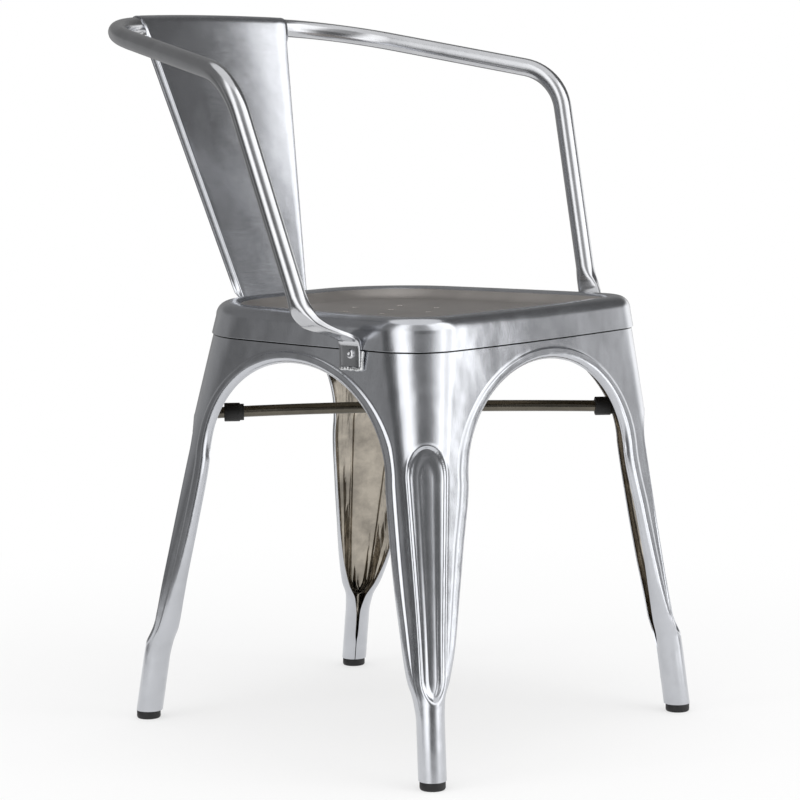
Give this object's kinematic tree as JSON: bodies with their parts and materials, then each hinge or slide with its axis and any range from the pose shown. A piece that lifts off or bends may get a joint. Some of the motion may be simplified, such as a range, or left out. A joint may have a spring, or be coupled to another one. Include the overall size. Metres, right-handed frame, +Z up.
{
  "type": "metal armchair",
  "caption": "Stacking armchair of bare steel: pressed tapering sheet legs, dished seat with drain holes, one bent tube for arms and back, and a tapered sheet backrest.",
  "frame": {"origin": "on the floor, in the middle of the chair's overall box", "axes": "+Z up, -Y towards the sitter's knees (the front of the seat), +X to the sitter's left"},
  "size_m": [0.5214, 0.4976, 0.725],
  "materials": {
    "sheet_steel": "bare galvanised sheet under a satin clear coat",
    "tube_steel": "bare bent tube under a satin clear coat",
    "rod_steel": "bare round bar, dull",
    "fasteners": "rivet heads, satin",
    "weld": "bare weld metal",
    "rubber": "black rubber, dull"
  },
  "bodies": {
    "root": {"leg_front_left": "sheet_steel", "leg_front_right": "sheet_steel", "leg_rear_left": "sheet_steel", "leg_rear_right": "sheet_steel", "seat_pan": "sheet_steel", "back_splat": "sheet_steel", "arm_rail": "tube_steel", "brace_upper": "rod_steel", "brace_lower": "rod_steel", "arm_rivets": "fasteners", "splat_rivets": "fasteners", "weld_beads": "weld", "glide_front_left": "rubber", "glide_front_right": "rubber", "glide_rear_left": "rubber", "glide_rear_right": "rubber", "bumper_front_left": "rubber", "bumper_front_right": "rubber", "bumper_rear_left": "rubber", "bumper_rear_right": "rubber"}
  },
  "joints": []
}
